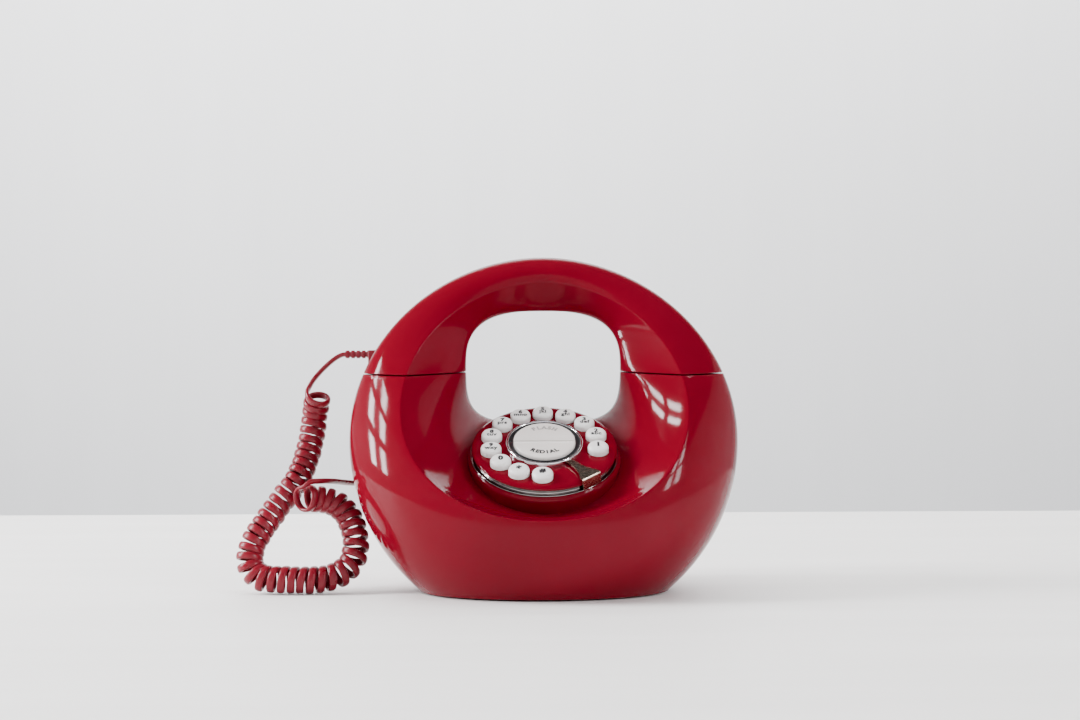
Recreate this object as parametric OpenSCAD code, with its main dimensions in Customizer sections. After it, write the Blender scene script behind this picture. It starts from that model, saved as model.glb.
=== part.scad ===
// Corded push-button telephone in the shape of a leaning ring, with the handset as its top arch.
// Millimetres. +X right, -Y front, +Z up. The origin is on the table, under the middle of the phone.

/* [Ring] */
// Half width of the ring's outline
ring_half_w = 116.8; // [112:0.2:122]
// Height of the outline's widest line above the table
ring_mid_z = 91; // [88:1:95]
// Outline's height above its widest line
ring_up = 113; // [110:1:118]
// Outline's depth below its widest line, before the flat base cuts it
ring_down = 116; // [112:1:120]
// Depth of the ring's rearmost line behind the origin
ring_back = 72; // [68:1:78]
// Wall thickness of the moulded shells
wall = 2.8; // [2:0.1:4]

/* [Scoop] */
// Half width of the crease round the scoop
crease_half_w = 84; // [80:0.5:88]
// Height of the crease's widest line
crease_mid_z = 112; // [108:1:116]
// Rise of the crease above its widest line
crease_up = 75; // [72:0.5:78]
// Drop of the crease below its widest line
crease_down = 65; // [62:0.5:70]
// How far forward the crease's lowest point stands
lip_y = -72; // [-76:0.5:-66]
// How far the crease leans back for each millimetre of height
crease_lean = 0.66; // [0.5:0.01:0.8]

/* [Hand hole] */
// Half width of the hole's throat
throat_half_w = 48.2; // [44:0.2:52]
// Height of the throat's middle
throat_mid_z = 135.4; // [130:0.2:140]
// Half height of the throat
throat_half_h = 35.3; // [32:0.1:38]
// Depth of the throat's sides behind the origin
throat_y = 13; // [10:0.5:18]
// How much deeper the throat lies at its top than at its sides
throat_top = 21; // [16:0.5:24]
// How much deeper the throat lies at its bottom, behind the dial
throat_low = 29; // [26:0.5:32]
// Share of the depth over which the scoop turns into the throat, smaller for a tighter turn
throat_ease = 0.12; // [0.08:0.01:0.26]

/* [Parting planes] */
// Height of the joint between the handset and the base, above the origin
seam_z = 130; // [126:0.5:134]
// Tilt of that joint, down towards the front
seam_tilt = 5.5; // [0:0.5:8]
// Gap of the joint
seam_gap = 1; // [0.6:0.1:1.4]
// Place of the rear parting plane at the table
split_y = 31; // [28:0.5:36]
// Lean of the rear parting plane
split_tilt = 8.5; // [4:0.5:12]

/* [Dial] */
// Place of the dial's face behind the origin
dial_y = -19; // [-24:0.5:-14]
// Height of the middle of the dial's face
dial_z = 87; // [85.6:0.2:88]
// Slope of the dial's face from the horizontal
dial_tilt = 32.8; // [25:0.2:38]
// Radius of the dial's disc
dial_r = 42.9; // [42.6:0.1:43.2]
// Radius of the circle that the keys stand on
key_circle_r = 32; // [31.5:0.1:32.5]
// Radius of a key
key_r = 6.1; // [5.5:0.1:6.2]
// Height of a key above the dial's face
key_h = 4.2; // [3:0.1:5]
// Angle of the key for 1, to the right of the dial's middle
key_start = -10; // [-12:0.5:-6]
// Radius of the two half-round buttons in the middle
middle_r = 18.4; // [17.5:0.1:18.6]
// Radius of the housing under the dial
housing_r = 45.5; // [45:0.1:45.8]

/* [Cord] */
// Outer diameter of the curly cord's turns
coil_d = 16.4; // [14:0.2:16.4]
// Mean diameter of the cord's flat strand
strand_d = 3.2; // [2.6:0.1:3.4]

/* [Hidden] */
$fn = 48;
red = [0.62, 0.05, 0.09];
white = [0.93, 0.92, 0.90];
chrome = [0.80, 0.81, 0.83];
steel = [0.62, 0.63, 0.65];
black = [0.08, 0.08, 0.09];
green = [0.10, 0.35, 0.20];
span = 400; // larger than the phone each way

// Base
floor_gap = 1; // the shells end this far above the table
plate_z = 1.4; // underside of the bottom plate
plate_h = 2.8;
plate_top = plate_z + plate_h;
plate_outline = [for (i = [0 : 59]) [66 * cos(6 * i), -3 + 46 * sin(6 * i)]];
foot_r = 6;
front_post = [48, -26];
rear_post = [24, 37];
rear_screw = [103, 90]; // x and z of the screws that join the base's shells
standoff = [37.5, 28];
board_z = 22;
switch_x = 17;
switch_y = 22;
ringer_at = [-50, 0];

// Places on the joint between handset and base, in that joint's own plane
hook_at = [88, 4];
ear_at = [82, 30];
cap_r = 18;
front_pad = [97, 12];
rear_pad = [74, 60];

// Dial, heights from the face of its disc
key_step = 25.2;
key_flange_r = key_r + 0.75;
disc_t = 2.2;
trim_low = 5.4;
housing_low = 28;
bezel_r = 21.2;
ring_r = 22.9;
stop_angle = -50;
board_screw_r = 25;

// Handset
handset_screw = [80, 152]; // x and z of the screws that join the handset's shells
boot_at = [-105, 24, 142.6];
boot_len = 17;

// Cord, as points chosen along it
jack_at = [-102.3, 28, 63];
neck_len = 8.7;
upper_route = [[-122.15, 24, 142.6], [-124.7, 24, 142.2], [-130, 24, 139], [-136.8, 24, 132.8],
               [-141.9, 23, 126.6], [-144.6, 21, 121.4]];
coil_route = [[-138.3, 17.5, 117.5], [-139.6, 21.5, 112], [-141, 24, 105], [-142, 23.5, 97],
              [-143.5, 21, 87], [-146, 17, 76], [-150.5, 12, 65], [-157.5, 8, 55], [-165, 3, 44],
              [-170.5, -2, 35], [-174.5, -6, 26], [-174.5, -10, 16.5], [-168, -13, 10],
              [-158, -15, 8.6], [-146, -15.5, 8.4], [-134, -15, 8.4], [-123, -12.5, 10.5],
              [-115, -9, 17], [-112.5, -6, 27], [-114, -3, 37], [-118.5, -1, 46],
              [-126, -0.5, 52.3], [-134.5, -2.5, 55], [-140.5, -6.5, 55.5], [-143.8, -10, 55.5]];
lower_route = [[-143.2, -10.5, 63.8], [-139, -10.5, 65.6], [-133.5, -7.5, 66], [-128, 0, 65.6],
               [-123, 12, 64.4], [-118.5, 21.5, 63.3], [-114.5, 26.8, 63], [-111, 28, 63]];

// ---- the ring's form ----

// A closed outline in the front view: its point at polar angle t round its own middle
function reach(t, w, h, n) = pow(pow(abs(cos(t)) / w, n) + pow(abs(sin(t)) / h, n), -1 / n);
function outline(t, w, mid, up, down, n_up, n_down) =
    let (high = sin(t) >= -1e-9, r = reach(t, w, high ? up : down, high ? n_up : n_down))
    [r * cos(t), mid + r * sin(t)];

// The four lines that run round the ring, as points [x, y, z]; inset is how far under the skin
function throat(t, inset) =
    let (p = outline(t, throat_half_w + inset, throat_mid_z, throat_half_h + inset,
                     throat_half_h + inset, 2.8, 4),
         rise = (p[1] - throat_mid_z) / throat_half_h)
    [p[0], throat_y + throat_top * pow(max(0, rise), 1.5) + throat_low * pow(max(0, -rise), 1.5), p[1]];
function crease(t, inset) =
    let (p = outline(t, crease_half_w, crease_mid_z, crease_up, crease_down, 1.9, 2.15))
    [p[0], lip_y + crease_lean * (p[1] - crease_mid_z + crease_down) + 1.7 * inset, p[1]];
function flank(t, inset) =
    let (p = outline(t, ring_half_w - inset, ring_mid_z, ring_up - inset, ring_down - inset, 1.95, 2),
         rise = max(0, p[1] - ring_mid_z) / ring_up)
    [p[0], -1 + 0.06 * min(0, p[1] - ring_mid_z) + 40 * pow(rise, 2.2), p[1]];
function spine(t, inset) =
    let (a = throat(t, 0), b = flank(t, 0))
    [0.5 * (a[0] + b[0]), ring_back - inset, 0.5 * (a[2] + b[2])];

function bezier(a, b, c, d, s) =
    let (r = 1 - s) r * r * r * a + 3 * r * r * s * b + 3 * r * s * s * c + s * s * s * d;
function back(k) = [0, k, 0];
function flat(v) = [v[0], 0, v[2]];

// One cross-section: wall of the scoop, front band, outer rear and rear of the hole.
// The scoop's wall sags into a bowl under the dial.
function section(t, inset, n) =
    let (tp = throat(t, inset), cp = crease(t, inset), fp = flank(t, inset), sp = spine(t, inset),
         sag = pow(max(0, -sin(t)), 1.5) * [0, -19, -35],
         wall_b = tp - back(throat_ease * (tp[1] - cp[1])), wall_c = cp + 0.45 * (tp - cp) + sag,
         band_b = cp + 0.5 * flat(fp - cp) - back(1.5), band_c = fp - back(0.55 * (fp[1] - cp[1])),
         rear_b = fp + back(0.55 * (sp[1] - fp[1])), rear_c = sp + 0.55 * flat(fp - sp),
         hole_b = sp + 0.55 * flat(tp - sp), hole_c = tp + back(0.6 * (sp[1] - tp[1])))
    concat([for (i = [0 : n - 1]) bezier(tp, wall_b, wall_c, cp, i / n)],
           [for (i = [0 : n - 1]) bezier(cp, band_b, band_c, fp, i / n)],
           [for (i = [0 : n - 1]) bezier(fp, rear_b, rear_c, sp, i / n)],
           [for (i = [0 : n - 1]) bezier(sp, hole_b, hole_c, tp, i / n)]);

// Triangles between rows of points that each close on themselves
function band_faces(rows, cols, closed) =
    [for (i = [0 : rows - (closed ? 1 : 2)], j = [0 : cols - 1])
        let (a = i * cols + j, b = i * cols + (j + 1) % cols, k = ((i + 1) % rows) * cols,
             c = k + (j + 1) % cols, d = k + j)
        each [[a, c, b], [a, d, c]]];
module ring(inset, steps, n) {
    rows = [for (i = [0 : steps - 1]) section(i * 360 / steps, inset, n)];
    polyhedron([for (row = rows, p = row) p], band_faces(steps, 4 * n, true), convexity = 8);
}

// ---- places and half spaces ----

module on_seam(at) {
    translate([0, 0, seam_z]) rotate([seam_tilt, 0, 0]) translate([at[0], at[1], 0]) children();
}
module on_dial() {
    translate([0, dial_y, dial_z]) rotate([dial_tilt, 0, 0]) children();
}
module both_sides() {
    children();
    mirror([1, 0, 0]) children();
}
module above_seam(lift) {
    on_seam([-span / 2, -span / 2]) translate([0, 0, lift]) cube([span, span, span]);
}
module below_seam(drop) {
    on_seam([-span / 2, -span / 2]) translate([0, 0, -drop - span]) cube([span, span, span]);
}
module ahead_of_split() {
    translate([0, split_y, 0]) rotate([-split_tilt, 0, 0])
        translate([-span / 2, -span, -span / 4]) cube([span, span, span]);
}
module behind_split() {
    translate([0, split_y, 0]) rotate([-split_tilt, 0, 0])
        translate([-span / 2, 0, -span / 4]) cube([span, span, span]);
}
module column(x, y, r, low, high) {
    translate([x, y, low]) cylinder(r = r, h = high - low);
}
// A rod along Y, from near to far
module rod(x, z, r, near, far) {
    translate([x, near, z]) rotate([-90, 0, 0]) cylinder(r = r, h = far - near);
}

// The posts and bosses that the screws go into, before they are cut to the ring
module base_posts() {
    both_sides() {
        column(front_post[0], front_post[1], 4, plate_top, 90, $fn = 16);
        column(rear_post[0], rear_post[1], 4, plate_top, 12, $fn = 16);
        translate([rear_post[0] - 1.5, rear_post[1], plate_top]) cube([3, 40, 7.8]);
        rod(rear_screw[0], rear_screw[1], 5, 24, 70, $fn = 16);
        translate([rear_screw[0], 26, rear_screw[1] - 1.5]) cube([16, 30, 3]);
    }
    on_seam(hook_at) translate([-60, 6.6, -41]) cube([120, 2, 17]);
}
module handset_bosses() {
    both_sides() rod(handset_screw[0], handset_screw[1], 4.5, -30, 75, $fn = 16);
}

// ---- base ----

module base_form() {
    intersection() {
        ring(0, 60, 6);
        below_seam(seam_gap / 2);
        translate([-span / 2, -span / 2, floor_gap]) cube([span, span, span]);
        union() {
            difference() {
                translate([-span / 2, -span / 2, 0]) cube([span, span, span]);
                intersection() {
                    ring(wall, 36, 4);
                    below_seam(seam_gap / 2 + wall);
                }
            }
            base_posts();
        }
        difference() {
            translate([-span / 2, -span / 2, 0]) cube([span, span, span]);
            linear_extrude(plate_top + 0.05) offset(0.15) polygon(plate_outline);
        }
    }
}
module base_bores() {
    both_sides() {
        column(front_post[0], front_post[1], 1.25, 0, 20);
        column(rear_post[0], rear_post[1], 1.25, 0, 20);
        rod(rear_screw[0], rear_screw[1], 1.25, 28, 46);
    }
    on_dial() translate([0, 0, -housing_low - 2]) cylinder(r = housing_r + 0.1, h = housing_low);
    on_seam(hook_at) translate([0, 0, -6]) cylinder(r = 3.1, h = 10);
    translate([jack_at[0] - 12, jack_at[1] - 4.2, jack_at[2] - 3.7]) cube([14, 8.4, 7.4]);
}
module base_front_shell() color(red) {
    difference() {
        resize([0, 0, 0]) intersection() {
            base_form();
            ahead_of_split();
        }
        base_bores();
    }
}
module base_rear_shell() color(red) {
    difference() {
        resize([0, 0, 0]) intersection() {
            base_form();
            behind_split();
        }
        both_sides() {
            column(rear_post[0], rear_post[1], 1.25, 0, 20);
            rod(rear_screw[0], rear_screw[1], 1.6, 40, 80);
            rod(rear_screw[0], rear_screw[1], 3.4, 50, 80);
        }
        translate([-6.2, 60, 24.8]) cube([12.4, 20, 10.4]);
    }
}
module bottom_plate() color(black) {
    difference() {
        union() {
            translate([0, 0, plate_z]) linear_extrude(plate_h) polygon(plate_outline);
            both_sides() for (y = [-standoff[1] - 3, standoff[1] - 3])
                column(standoff[0], y, 2.8, plate_z + 1, board_z);
        }
        both_sides() {
            for (p = [front_post, rear_post]) {
                column(p[0], p[1], 1.5, 0, plate_top + 1);
                column(p[0], p[1], 3.3, 0, plate_z + 2);
            }
            for (y = [-standoff[1] - 3, standoff[1] - 3]) column(standoff[0], y, 1, board_z - 8, board_z + 1);
        }
        for (r = [0, 5, 10], i = [0 : max(0, r * 1.2 - 1)])
            column(ringer_at[0] + r * cos(i * 300 / max(1, r)), ringer_at[1] + r * sin(i * 300 / max(1, r)), 1, 0, 5);
        translate([-switch_x - 6, switch_y - 2.2, 0]) cube([12, 4.4, 5]);
        translate([switch_x - 5, switch_y - 2.2, 0]) cube([10, 4.4, 5]);
    }
}
module rubber_feet() color(black) {
    both_sides() {
        column(34, -32, foot_r, 0, plate_z);
        column(41, 22, foot_r, 0, plate_z);
    }
}
// A pan-head screw along +Z, its head below z = 0
module screw(r, length, head_r, head_h) {
    cylinder(r = r, h = length);
    translate([0, 0, -head_h]) cylinder(r = head_r, h = head_h);
}
module bottom_screws() color(steel) {
    both_sides() for (p = [front_post, rear_post]) translate([p[0], p[1], plate_z + 2]) screw(1.2, 8, 3, 1.6);
}
module rear_screws() color(steel) {
    both_sides() translate([rear_screw[0], 50, rear_screw[1]]) rotate([90, 0, 0]) screw(1.2, 20, 3, 1.8);
}
module cradle_pads() color(black) {
    both_sides() for (at = [front_pad, rear_pad])
        on_seam(at) translate([0, 0, -seam_gap / 2]) cylinder(r = 3.5, h = seam_gap - 0.05);
}
module main_board() color(green) {
    difference() {
        union() {
            translate([-42, -36, board_z]) cube([84, 66, 1.6]);
            translate([-24, -10, board_z + 1.6]) cube([16, 9, 2.4]);
            translate([12, 4, board_z + 1.6]) cube([10, 10, 4]);
            column(28, -18, 4, board_z + 1, board_z + 10);
        }
        both_sides() for (y = [-standoff[1] - 3, standoff[1] - 3]) column(standoff[0], y, 1.3, board_z - 1, board_z + 3);
    }
}
module main_board_screws() color(steel) {
    both_sides() for (y = [-standoff[1] - 3, standoff[1] - 3])
        translate([standoff[0], y, board_z + 1.6]) mirror([0, 0, 1]) screw(0.95, 8, 2.2, 1.2);
}
module ringer() color(black) {
    column(ringer_at[0], ringer_at[1], 13.5, plate_top, plate_top + 4);
    column(ringer_at[0], ringer_at[1], 8, plate_top + 4, plate_top + 9);
}
module ballast_plate() color(steel) {
    translate([-32, -30, plate_top]) cube([64, 44, 6]);
}
// A slide switch's knob in its slot, with the flange that keeps it in
module slide_knob(x) {
    translate([x - 2.5, switch_y - 2, plate_z + 0.5]) cube([5, 4, plate_h - 0.4]);
    translate([x - 8.5, switch_y - 3.4, plate_top + 0.1]) cube([17, 6.8, 1]);
}
module ringer_switch() color(white) slide_knob(-switch_x);
module tone_switch() color(white) slide_knob(switch_x - 2);
module switch_cases() color(steel) {
    for (x = [-switch_x, switch_x]) translate([x - 6, switch_y - 3.5, plate_top + 1.2]) cube([12, 7, 5]);
}
module hook_plunger() color(white) on_seam(hook_at) {
    translate([0, 0, -27.4]) rotate_extrude() polygon([[0, 0], [3, 0], [3, 15.4], [4.5, 15.4], [4.5, 16.9],
        [3, 16.9], [3, 26.4], [2.6, 27.3], [1.6, 27.85], [0, 27.85]]);
}
module hook_spring() color(steel) on_seam(hook_at) {
    translate([0, 0, -24.5]) difference() {
        cylinder(r = 4.3, h = 12.4);
        translate([0, 0, -1]) cylinder(r = 3.4, h = 15);
    }
}
module hook_switch() color(black) on_seam(hook_at) {
    difference() {
        translate([-8, -6, -26.1]) cube([16, 12, 1.6]);
        translate([0, 0, -28]) cylinder(r = 3.1, h = 5);
    }
    translate([-8, 5, -40]) cube([16, 1.6, 14]);
    translate([-6.4, -3, -37]) cube([12.8, 8, 8]);
    translate([0, 0, -29]) cylinder(r = 1.2, h = 1.5);
}
module handset_jack() color(black) {
    difference() {
        translate([jack_at[0], jack_at[1] - 5.5, jack_at[2] - 5]) cube([13, 11, 10]);
        translate([jack_at[0] - 1, jack_at[1] - 3.8, jack_at[2] - 3.3]) cube([12, 7.6, 6.6]);
    }
}
module line_jack() color(black) {
    difference() {
        union() {
            translate([-7.5, 51.5, 23.5]) cube([15, 13.3, 13]);
            translate([-6, 60, 25]) cube([12, 10.4, 10]);
        }
        translate([-5, 57, 26.5]) cube([10, 20, 7]);
    }
}

// ---- dial ----

// A disc's round profile turned about the dial's axis
module turned(points) rotate_extrude($fn = 96) polygon(points);
module dial_housing() color(red) on_dial() {
    difference() {
        union() {
            turned(concat([[38, -trim_low]],
                [for (i = [0 : 6]) [housing_r - 3.4 + 3.4 * sin(15 * i), -trim_low - 3.4 + 3.4 * cos(15 * i)]],
                [[housing_r, -housing_low], [42.4, -housing_low], [42.4, -11.5], [22, -11.5], [22, -10],
                 [38, -10]]));
            for (i = [0 : 2]) rotate([0, 0, 120 * i + 30]) column(board_screw_r, 0, 2.5, -10.5, -8.2);
        }
        for (i = [0 : 2]) rotate([0, 0, 120 * i + 30]) column(board_screw_r, 0, 1, -12, -8);
    }
}
module dial_trim() color(chrome) on_dial() {
    turned([[39.4, -disc_t], [41.6, -disc_t], [41.6, -trim_low + 0.7], [43.9, -trim_low + 0.7],
            [44.2, -trim_low + 0.35], [43.9, -trim_low], [39.4, -trim_low]]);
}
module dial_disc() color(red) on_dial() {
    difference() {
        turned([[bezel_r, 0], [dial_r - 3.6, 0], [dial_r - 1.8, -0.15], [dial_r - 0.7, -0.5], [dial_r - 0.1, -1],
                [dial_r, -1.5], [dial_r - 0.4, -disc_t], [bezel_r, -disc_t]]);
        for (i = [0 : 11]) rotate([0, 0, key_start + i * key_step])
            column(key_circle_r, 0, key_r + 0.1, -disc_t - 1, 1);
    }
}
module key(i) color(white) on_dial() rotate([0, 0, key_start + i * key_step]) translate([key_circle_r, 0, 0])
    rotate_extrude() polygon(concat(
        [[0, key_h], [key_r - 2.8, key_h - 0.05]],
        [for (a = [75, 50, 25, 0]) [key_r - 2.2 + 2.2 * cos(a), key_h - 2.3 + 2.2 * sin(a)]],
        [[key_r, -disc_t - 0.1], [key_flange_r, -disc_t - 0.1],
         [key_flange_r, -disc_t - 1.2], [0, -disc_t - 1.2]]));
module key_1() key(0);
module key_2() key(1);
module key_3() key(2);
module key_4() key(3);
module key_5() key(4);
module key_6() key(5);
module key_7() key(6);
module key_8() key(7);
module key_9() key(8);
module key_0() key(9);
module key_star() key(10);
module key_hash() key(11);
// Half of the round button in the middle: side is 1 for the upper half
module middle_button(side) color(white) on_dial() {
    difference() {
        turned([[0, key_h], [middle_r - 1, key_h], [middle_r - 0.3, key_h - 0.3], [middle_r, key_h - 1],
                [middle_r, -disc_t - 0.2], [bezel_r - 0.4, -disc_t - 0.2], [bezel_r - 0.4, -disc_t - 1.2],
                [0, -disc_t - 1.2]]);
        translate([-30, side > 0 ? -60 + 0.15 : -0.15, -20]) cube([60, 60, 40]);
    }
}
module flash_button() middle_button(1);
module redial_button() middle_button(-1);
module centre_ring() color(chrome) on_dial() {
    turned(concat([[bezel_r, 0]], [[ring_r, 0], [ring_r, 2.2]],
        [for (a = [30 : 30 : 150]) [(bezel_r + ring_r) / 2 + (ring_r - bezel_r) / 2 * cos(a), 2.2 + 1.1 * sin(a)]],
        [[bezel_r, 2.2]]));
}
module centre_bezel() color(black) on_dial() {
    turned([[middle_r + 0.1, -disc_t], [bezel_r, -disc_t], [bezel_r, 2.4], [middle_r + 0.1, 2.4]]);
}
module finger_stop() color([0.72, 0.66, 0.55]) on_dial() rotate([0, 0, stop_angle]) {
    translate([0, 0, 1.4]) linear_extrude(1.2)
        polygon([[ring_r + 0.1, -4.2], [32, -4.6], [38, -5.6], [dial_r + 0.4, -6.6], [dial_r + 1.6, -6.6],
                 [dial_r + 1.6, 6.6], [dial_r + 0.4, 6.6], [38, 5.6], [32, 4.6], [ring_r + 0.1, 4.2]]);
    translate([dial_r + 0.4, -6.6, -trim_low + 0.8]) cube([1.2, 13.2, trim_low + 1.3]);
}
module key_membrane() color([0.75, 0.75, 0.72]) on_dial() {
    difference() {
        union() {
            column(0, 0, 37.5, -6.4, -5.2);
            for (i = [0 : 11]) rotate([0, 0, key_start + i * key_step]) column(key_circle_r, 0, 4, -6, -5);
            for (y = [-9, 9]) column(0, y, 4, -6, -5);
        }
        for (i = [0 : 2]) rotate([0, 0, 120 * i + 30]) column(board_screw_r, 0, 2.8, -7, -4);
    }
}
module key_board() color(green) on_dial() {
    difference() {
        column(0, 0, 37.8, -8.2, -6.5);
        for (i = [0 : 2]) rotate([0, 0, 120 * i + 30]) column(board_screw_r, 0, 1.2, -9, -6);
    }
}
module key_board_screws() color(steel) on_dial() {
    for (i = [0 : 2]) rotate([0, 0, 120 * i + 30]) translate([board_screw_r, 0, -6.5])
        mirror([0, 0, 1]) screw(0.95, 4.6, 2.2, 1.1);
}
module ribbon_cable() color([0.6, 0.6, 0.62]) {
    translate([7, 0, 0]) rotate([0, -90, 0]) linear_extrude(14)
        polygon([[board_z + 1.6, -16], [44, -8], [58, -12], [75.5, -14.2], [75.2, -15.2], [57.6, -13.1],
                 [44, -9.1], [board_z + 1.6, -17.1]]);
}

// ---- handset ----

module handset_form() {
    intersection() {
        ring(0, 60, 6);
        above_seam(seam_gap / 2);
        union() {
            difference() {
                translate([-span / 2, -span / 2, 0]) cube([span, span, span]);
                intersection() {
                    ring(wall, 36, 4);
                    above_seam(seam_gap / 2 + wall);
                }
            }
            handset_bosses();
        }
    }
}
module handset_front_shell() color(red) {
    difference() {
        resize([0, 0, 0]) intersection() {
            handset_form();
            ahead_of_split();
        }
        both_sides() {
            on_seam(ear_at) column(0, 0, cap_r, -1, 6);
            rod(handset_screw[0], handset_screw[1], 1.25, 36, 60);
        }
        translate([boot_at[0] - 8, boot_at[1] - 4.1, 126]) cube([12.1, 8.2, boot_at[2] + 2.7 - 126]);
    }
}
module handset_rear_shell() color(red) {
    difference() {
        resize([0, 0, 0]) intersection() {
            handset_form();
            behind_split();
        }
        both_sides() {
            rod(handset_screw[0], handset_screw[1], 1.6, 40, 80);
            rod(handset_screw[0], handset_screw[1], 3.4, 63, 80);
        }
    }
}
// A round cover with rings of sound holes
module sound_cover(side) color(red) on_seam([side * ear_at[0], ear_at[1]]) {
    difference() {
        column(0, 0, cap_r, seam_gap / 2 + 0.1, seam_gap / 2 + wall);
        column(0, 0, 1, 0, 5);
        for (r = [4.5, 9], i = [0 : r * 4 / 3 - 1]) rotate([0, 0, i * 270 / r]) column(r, 0, 1, 0, 5);
    }
}
module earpiece_cover() sound_cover(1);
module mouthpiece_cover() sound_cover(-1);
module receiver() color(black) on_seam(ear_at) {
    column(0, 0, 14.5, seam_gap / 2 + wall, 9);
    column(0, 0, 8, 9, 14);
}
module microphone() color(black) on_seam([-ear_at[0], ear_at[1]]) column(0, 0, 4.9, seam_gap / 2 + wall, 9);
module handset_weight() color(steel) {
    translate([-28, 38, 181]) cube([56, 15, 8]);
}
module handset_screws() color(steel) {
    both_sides() translate([handset_screw[0], 63, handset_screw[1]]) rotate([90, 0, 0]) screw(1.2, 24, 3, 1.8);
}

// ---- cords ----

// Points on a smooth curve through the route's points, n to a stretch
function through(route, n) =
    let (m = len(route) - 1)
    [for (i = [0 : m - 1], k = [0 : n - 1])
        let (p0 = route[max(0, i - 1)], p1 = route[i], p2 = route[i + 1], p3 = route[min(m, i + 2)], s = k / n)
        p1 + 0.5 * s * ((p2 - p0) + s * ((2 * p0 - 5 * p1 + 4 * p2 - p3) + s * (3 * p1 - p0 - 3 * p2 + p3))),
     route[m]];
function unit(v) = v / norm(v);
// A round tube along a route that never runs along Y
module tube(route, r, sides) {
    m = len(route);
    points = [for (i = [0 : m - 1])
        let (along = unit(route[min(m - 1, i + 1)] - route[max(0, i - 1)]),
             u = unit(cross(along, [0, 1, 0])), v = cross(along, u))
        for (j = [0 : sides - 1]) route[i] + r * (cos(j * 360 / sides) * u + sin(j * 360 / sides) * v)];
    ends = [[for (j = [0 : sides - 1]) j], [for (j = [sides - 1 : -1 : 0]) (m - 1) * sides + j]];
    polyhedron(points, concat(band_faces(m, sides, false), ends), convexity = 6);
}
module handset_wires() color([0.85, 0.75, 0.3]) {
    tube(through([[-99.5, 25.6, 136.5], [-96, 26, 142], [-93, 28, 147], [-89.5, 30, 151.5], [-85.5, 32, 157],
                  [-77, 36, 166], [-61, 40, 177], [-38, 44, 188.5], [0, 46, 195], [38, 44, 188.5],
                  [61, 40, 177], [77, 36, 166], [86, 32, 156.5], [87.3, 29.5, 151],
                  [87, 28.6, 147.3]], 2), 1.2, 8);
    tube(through([[-99.5, 22.6, 136], [-95, 25, 141], [-89.5, 28, 145], [-84, 29, 144.8],
                  [-82.2, 29, 142.3]], 2), 0.9, 8);
}
module cord_boot() color(red) {
    translate([boot_at[0] - 2.9, boot_at[1] - 4, 133.2]) cube([6.9, 8, boot_at[2] + 2.5 - 133.2]);
    translate([boot_at[0] - 2.9 - boot_len + 3, boot_at[1], boot_at[2]]) rotate([0, 90, 0])
        rotate_extrude() polygon(concat([[0, 0]],
            [for (i = [0 : 3]) each [[2.5, 3.4 * i], [2.5, 3.4 * i + 2.2], [1.9, 3.4 * i + 2.2], [1.9, 3.4 * i + 3.4]]],
            [[2.5, 13.6], [2.5, boot_len - 3], [0, boot_len - 3]]));
}
module cord_upper() color(red) tube(through(upper_route, 2), strand_d / 2, 8);
module cord_coil() color(red) tube(through(coil_route, 2), coil_d / 2, 12);
module cord_lower() color(red) tube(through(lower_route, 2), strand_d / 2, 8);
module cord_plug() color([0.85, 0.88, 0.9]) {
    translate([jack_at[0] + 0.5, jack_at[1] - 3.75, jack_at[2] - 3.25]) cube([10.3, 7.5, 6.5]);
    translate([jack_at[0] - neck_len, jack_at[1], jack_at[2]]) rotate([0, 90, 0]) cylinder(r = 2.2, h = neck_len + 1);
}

base_front_shell();
base_rear_shell();
bottom_plate();
rubber_feet();
bottom_screws();
rear_screws();
cradle_pads();
dial_housing();
dial_trim();
dial_disc();
key_1();
key_2();
key_3();
key_4();
key_5();
key_6();
key_7();
key_8();
key_9();
key_0();
key_star();
key_hash();
flash_button();
redial_button();
centre_ring();
centre_bezel();
finger_stop();
key_membrane();
key_board();
key_board_screws();
ribbon_cable();
main_board();
main_board_screws();
ringer();
ballast_plate();
ringer_switch();
tone_switch();
switch_cases();
hook_plunger();
hook_spring();
hook_switch();
handset_jack();
line_jack();
handset_front_shell();
handset_rear_shell();
earpiece_cover();
mouthpiece_cover();
receiver();
microphone();
handset_weight();
handset_wires();
handset_screws();
cord_boot();
cord_upper();
cord_coil();
cord_lower();
cord_plug();
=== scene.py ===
import math

import bmesh
import bpy
import numpy as np
from mathutils import Matrix, Vector


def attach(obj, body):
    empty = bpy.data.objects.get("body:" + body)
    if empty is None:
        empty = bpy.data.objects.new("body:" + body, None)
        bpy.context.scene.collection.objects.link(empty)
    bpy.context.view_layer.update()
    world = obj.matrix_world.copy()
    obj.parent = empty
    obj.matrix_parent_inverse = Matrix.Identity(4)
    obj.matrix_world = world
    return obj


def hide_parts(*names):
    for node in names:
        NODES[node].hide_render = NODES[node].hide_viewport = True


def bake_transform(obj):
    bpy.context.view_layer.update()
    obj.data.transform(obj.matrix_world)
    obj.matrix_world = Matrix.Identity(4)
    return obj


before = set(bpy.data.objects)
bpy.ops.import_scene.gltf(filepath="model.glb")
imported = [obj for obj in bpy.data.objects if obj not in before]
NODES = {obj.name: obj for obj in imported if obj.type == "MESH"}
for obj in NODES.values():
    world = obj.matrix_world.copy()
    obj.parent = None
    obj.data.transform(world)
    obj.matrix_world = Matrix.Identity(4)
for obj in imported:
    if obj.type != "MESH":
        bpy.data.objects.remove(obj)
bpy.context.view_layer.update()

MM = 0.001


# ---- places ----

def turn_x(degrees):
    return Matrix.Rotation(math.radians(degrees), 4, "X")


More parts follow.
